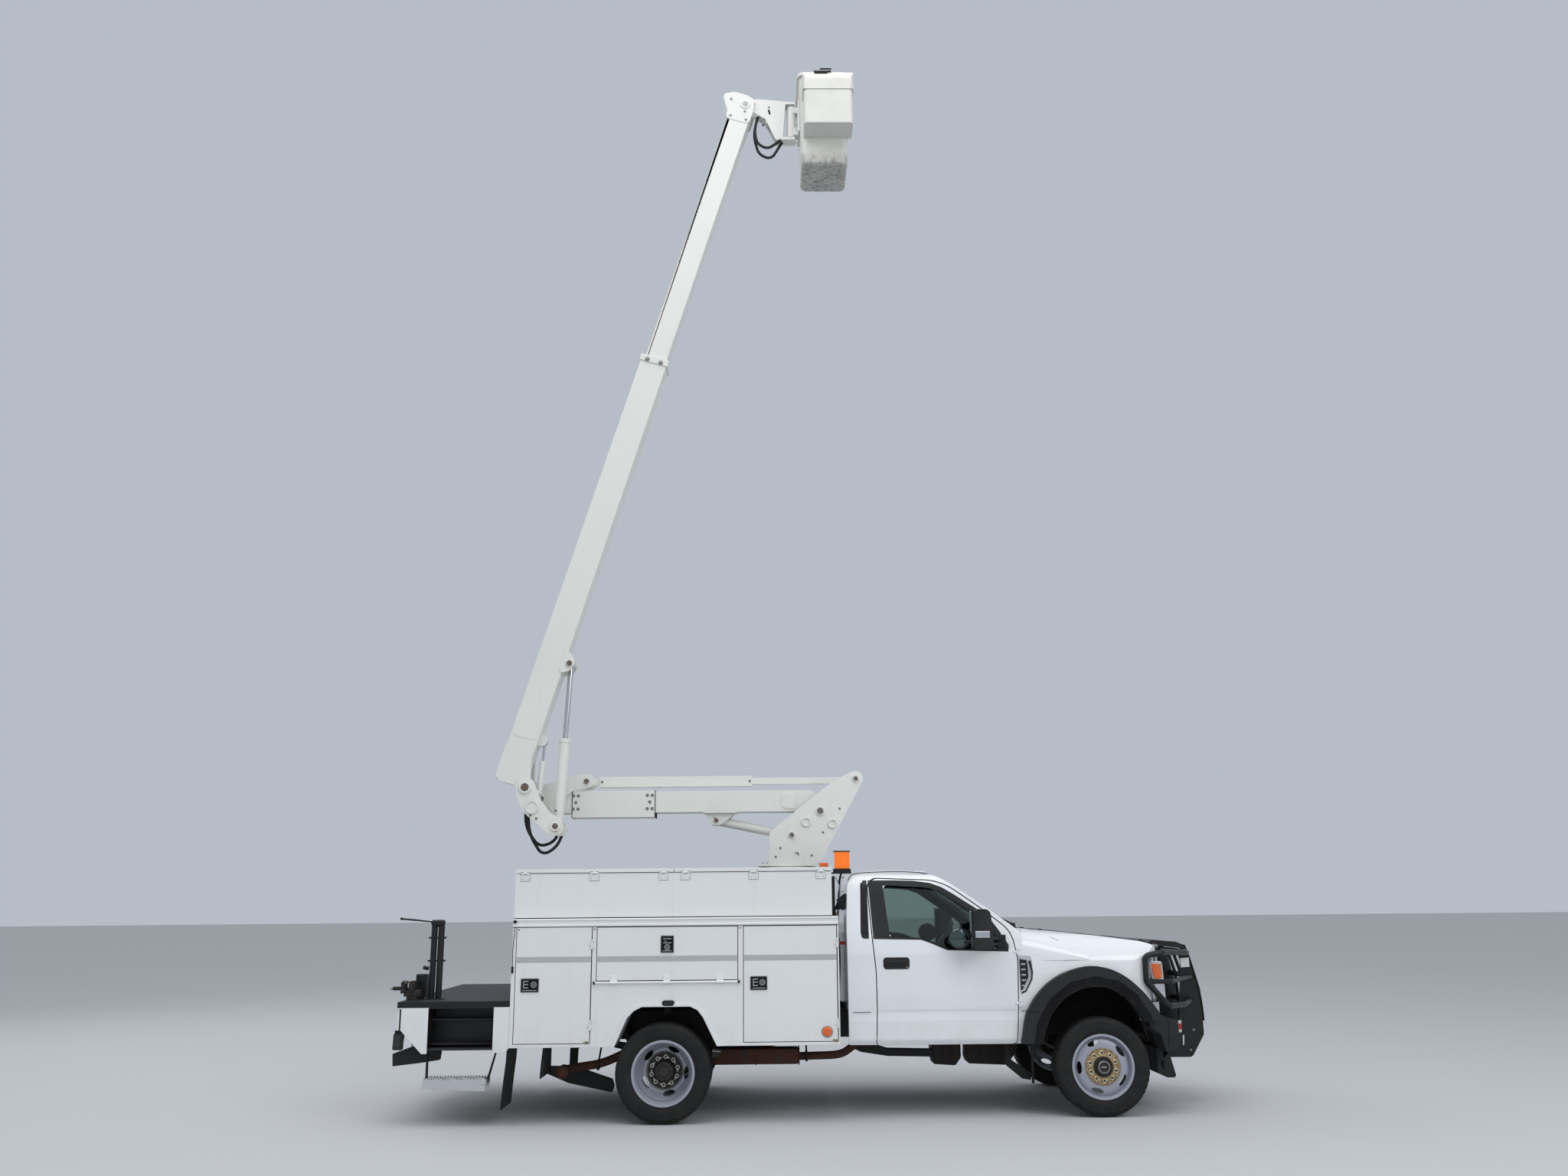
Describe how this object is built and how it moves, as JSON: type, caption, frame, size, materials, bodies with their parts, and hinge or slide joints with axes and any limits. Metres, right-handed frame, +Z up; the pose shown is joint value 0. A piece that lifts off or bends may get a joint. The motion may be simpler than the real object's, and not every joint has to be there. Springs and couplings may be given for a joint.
{
  "type": "cherry picker truck",
  "caption": "Utility body truck with dual rear wheels carrying a folding and telescoping aerial boom and a one-person bucket, boom raised.",
  "frame": {"origin": "centre of the bounding box in plan, on the ground", "axes": "+X forward, +Y to the truck's left, +Z up"},
  "size_m": [7.1407, 2.5358, 10.18],
  "materials": {
    "white_paint": "gloss",
    "black_paint": "satin",
    "dark_steel": "matte",
    "rim_silver": "gloss",
    "tyre": "matte",
    "glass": "clear",
    "lamp_clear": "clear",
    "black_plastic": "matte",
    "amber": "clear amber",
    "tub_plastic": "satin",
    "hose": "matte",
    "grip_aluminium": "mill",
    "cabin_trim": "matte",
    "chrome_rod": "polished"
  },
  "bodies": {
    "chassis": {"frame_rails": "dark_steel", "axles": "dark_steel", "drivetrain": "dark_steel", "cab_shell": "white_paint", "cab_glass": "glass", "cab_interior": "cabin_trim", "front_fenders": "white_paint", "headlamps": "lamp_clear", "arch_trim": "black_plastic", "front_guard": "black_paint", "body_l": "white_paint", "body_r": "white_paint", "cargo_deck": "white_paint", "tail_shelf": "black_paint", "hanging_step": "grip_aluminium", "beacon": "amber"},
    "knuckle_l": {"knuckle_l": "dark_steel"},
    "knuckle_r": {"knuckle_r": "dark_steel"},
    "front_wheel_l": {"front_rim_l": "rim_silver", "front_tyre_l": "tyre"},
    "front_wheel_r": {"front_rim_r": "rim_silver", "front_tyre_r": "tyre"},
    "rear_wheels_l": {"rear_rims_l": "rim_silver", "rear_tyres_l": "tyre"},
    "rear_wheels_r": {"rear_rims_r": "rim_silver", "rear_tyres_r": "tyre"},
    "cab_door_l": {"cab_door_l": "white_paint", "cab_door_glass_l": "glass"},
    "cab_door_r": {"cab_door_r": "white_paint", "cab_door_glass_r": "glass"},
    "hood": {"hood": "white_paint"},
    "body_door_rear_l": {"body_door_rear_l": "white_paint"},
    "body_door_centre_l": {"body_door_centre_l": "white_paint"},
    "body_door_front_l": {"body_door_front_l": "white_paint"},
    "box_lid_rear_l": {"box_lid_rear_l": "white_paint"},
    "box_lid_front_l": {"box_lid_front_l": "white_paint"},
    "body_door_rear_r": {"body_door_rear_r": "white_paint"},
    "body_door_centre_r": {"body_door_centre_r": "white_paint"},
    "body_door_front_r": {"body_door_front_r": "white_paint"},
    "box_lid_rear_r": {"box_lid_rear_r": "white_paint"},
    "box_lid_front_r": {"box_lid_front_r": "white_paint"},
    "turret": {"turret": "white_paint"},
    "lower_arm": {"lower_arm": "white_paint"},
    "comp_link": {"comp_link": "white_paint"},
    "arm_cyl_barrel": {"arm_cyl_barrel": "white_paint"},
    "arm_cyl_rod": {"arm_cyl_rod": "chrome_rod"},
    "elbow": {"elbow": "white_paint", "elbow_hoses": "hose"},
    "outer_boom": {"outer_boom": "white_paint"},
    "inner_boom": {"inner_boom": "white_paint"},
    "boom_cyl_barrel": {"boom_cyl_barrel": "white_paint"},
    "boom_cyl_rod": {"boom_cyl_rod": "chrome_rod"},
    "level_cyl_barrel": {"level_cyl_barrel": "white_paint"},
    "level_cyl_rod": {"level_cyl_rod": "chrome_rod"},
    "platform_bracket": {"platform_bracket": "white_paint", "tip_hoses": "hose"},
    "bucket": {"bucket": "tub_plastic", "bucket_mount": "white_paint"}
  },
  "joints": [
    {"name": "steer_l", "type": "hinge", "parent": "chassis", "child": "knuckle_l", "pos_m": [2.411, 0.8, 0.398], "axis": [0, 0, 1], "range_deg": [-32, 32]},
    {"name": "front_wheel_l", "type": "hinge", "parent": "knuckle_l", "child": "front_wheel_l", "pos_m": [2.411, 0.95, 0.398], "axis": [0, 1, 0], "continuous": true},
    {"name": "rear_wheels_l", "type": "hinge", "parent": "chassis", "child": "rear_wheels_l", "pos_m": [-1.28, 0.94, 0.398], "axis": [0, 1, 0], "continuous": true},
    {"name": "cab_door_l", "type": "hinge", "parent": "chassis", "child": "cab_door_l", "pos_m": [1.736, 1.012, 1], "axis": [0, 0, -1], "range_deg": [0, 68]},
    {"name": "body_door_rear_l", "type": "hinge", "parent": "chassis", "child": "body_door_rear_l", "pos_m": [-1.89, 1.201, 1.1], "axis": [0, 0, -1], "range_deg": [0, 90]},
    {"name": "body_door_front_l", "type": "hinge", "parent": "chassis", "child": "body_door_front_l", "pos_m": [0.178, 1.201, 1.1], "axis": [0, 0, -1], "range_deg": [0, 90]},
    {"name": "body_door_centre_l", "type": "hinge", "parent": "chassis", "child": "body_door_centre_l", "pos_m": [-1.254, 1.207, 1.124], "axis": [-1, 0, 0], "range_deg": [0, 90]},
    {"name": "box_lid_rear_l", "type": "hinge", "parent": "chassis", "child": "box_lid_rear_l", "pos_m": [-1.89, 1.128, 2.027], "axis": [-1, 0, 0], "range_deg": [0, 100]},
    {"name": "box_lid_front_l", "type": "hinge", "parent": "chassis", "child": "box_lid_front_l", "pos_m": [-0.53, 1.128, 2.027], "axis": [-1, 0, 0], "range_deg": [0, 100]},
    {"name": "steer_r", "type": "hinge", "parent": "chassis", "child": "knuckle_r", "pos_m": [2.411, -0.8, 0.398], "axis": [0, 0, 1], "range_deg": [-32, 32]},
    {"name": "front_wheel_r", "type": "hinge", "parent": "knuckle_r", "child": "front_wheel_r", "pos_m": [2.411, -0.95, 0.398], "axis": [0, 1, 0], "continuous": true},
    {"name": "rear_wheels_r", "type": "hinge", "parent": "chassis", "child": "rear_wheels_r", "pos_m": [-1.28, -0.94, 0.398], "axis": [0, 1, 0], "continuous": true},
    {"name": "cab_door_r", "type": "hinge", "parent": "chassis", "child": "cab_door_r", "pos_m": [1.736, -1.012, 1], "axis": [0, 0, 1], "range_deg": [0, 68]},
    {"name": "body_door_rear_r", "type": "hinge", "parent": "chassis", "child": "body_door_rear_r", "pos_m": [-1.89, -1.201, 1.1], "axis": [0, 0, 1], "range_deg": [0, 90]},
    {"name": "body_door_front_r", "type": "hinge", "parent": "chassis", "child": "body_door_front_r", "pos_m": [0.178, -1.201, 1.1], "axis": [0, 0, 1], "range_deg": [0, 90]},
    {"name": "body_door_centre_r", "type": "hinge", "parent": "chassis", "child": "body_door_centre_r", "pos_m": [-1.254, -1.207, 1.124], "axis": [1, 0, 0], "range_deg": [0, 90]},
    {"name": "box_lid_rear_r", "type": "hinge", "parent": "chassis", "child": "box_lid_rear_r", "pos_m": [-1.89, -1.128, 2.027], "axis": [1, 0, 0], "range_deg": [0, 100]},
    {"name": "box_lid_front_r", "type": "hinge", "parent": "chassis", "child": "box_lid_front_r", "pos_m": [-0.53, -1.128, 2.027], "axis": [1, 0, 0], "range_deg": [0, 100]},
    {"name": "hood", "type": "hinge", "parent": "chassis", "child": "hood", "pos_m": [1.858, 0, 1.513], "axis": [0, -1, 0], "range_deg": [0, 55]},
    {"name": "turret_turn", "type": "hinge", "parent": "chassis", "child": "turret", "pos_m": [-0.215, 0, 2.093], "axis": [0, 0, 1], "range_deg": [-180, 180]},
    {"name": "lower_arm_lift", "type": "hinge", "parent": "turret", "child": "lower_arm", "pos_m": [0.096, 0, 2.6], "axis": [0, 1, 0], "range_deg": [0, 75]},
    {"name": "comp_link_turn", "type": "hinge", "parent": "turret", "child": "comp_link", "pos_m": [0.436, 0, 2.899], "axis": [0, 1, 0], "range_deg": [0, 75]},
    {"name": "elbow_level", "type": "hinge", "parent": "lower_arm", "child": "elbow", "pos_m": [-2.456, 0, 2.6], "axis": [0, 1, 0], "range_deg": [-75, 0]},
    {"name": "arm_cyl_turn", "type": "hinge", "parent": "lower_arm", "child": "arm_cyl_barrel", "pos_m": [-0.885, 0, 2.527], "axis": [0, 1, 0], "range_deg": [0, 1]},
    {"name": "arm_cyl_slide", "type": "slide", "parent": "arm_cyl_barrel", "child": "arm_cyl_rod", "axis": [0.9793, 0, -0.2025], "range_m": [0, 0.424]},
    {"name": "upper_boom_lift", "type": "hinge", "parent": "elbow", "child": "outer_boom", "pos_m": [-2.628, -0.38, 2.814], "axis": [0, -1, 0], "range_deg": [-73, 0]},
    {"name": "boom_cyl_turn", "type": "hinge", "parent": "elbow", "child": "boom_cyl_barrel", "pos_m": [-2.338, -0.38, 2.459], "axis": [0, -1, 0], "range_deg": [-67, 0]},
    {"name": "boom_cyl_slide", "type": "slide", "parent": "boom_cyl_barrel", "child": "boom_cyl_rod", "axis": [0.0532, 0, 0.9986], "range_m": [-0.53, 0]},
    {"name": "level_cyl_turn", "type": "hinge", "parent": "elbow", "child": "level_cyl_barrel", "pos_m": [-2.519, -0.38, 2.766], "axis": [0, -1, 0], "range_deg": [-80, 0]},
    {"name": "level_cyl_slide", "type": "slide", "parent": "level_cyl_barrel", "child": "level_cyl_rod", "axis": [0.0783, 0, 0.9969], "range_m": [-0.133, 0]},
    {"name": "boom_extend", "type": "slide", "parent": "outer_boom", "child": "inner_boom", "axis": [0.2924, 0, 0.9563], "range_m": [-2.7, 0]},
    {"name": "platform_level", "type": "hinge", "parent": "inner_boom", "child": "platform_bracket", "pos_m": [-0.59249, -0.38, 9.95071], "axis": [0, -1, 0], "range_deg": [0, 73]},
    {"name": "bucket_turn", "type": "hinge", "parent": "platform_bracket", "child": "bucket", "pos_m": [-0.108, -0.38, 9.78], "axis": [0, 0, 1], "range_deg": [-90, 90]}
  ],
  "couplings": [
    {"joint": "steer_r", "follows": "steer_l", "ratio": 1},
    {"joint": "comp_link_turn", "follows": "lower_arm_lift", "ratio": 1},
    {"joint": "elbow_level", "follows": "lower_arm_lift", "ratio": -1},
    {"joint": "arm_cyl_turn", "follows": "lower_arm_lift", "ratio": 0.008087},
    {"joint": "arm_cyl_slide", "follows": "lower_arm_lift", "m_per_rad": 0.32386},
    {"joint": "boom_cyl_turn", "follows": "upper_boom_lift", "ratio": 0.9154},
    {"joint": "boom_cyl_slide", "follows": "upper_boom_lift", "m_per_rad": 0.41536},
    {"joint": "level_cyl_turn", "follows": "upper_boom_lift", "ratio": 1.0947},
    {"joint": "level_cyl_slide", "follows": "upper_boom_lift", "m_per_rad": 0.10423},
    {"joint": "platform_level", "follows": "upper_boom_lift", "ratio": -1}
  ]
}
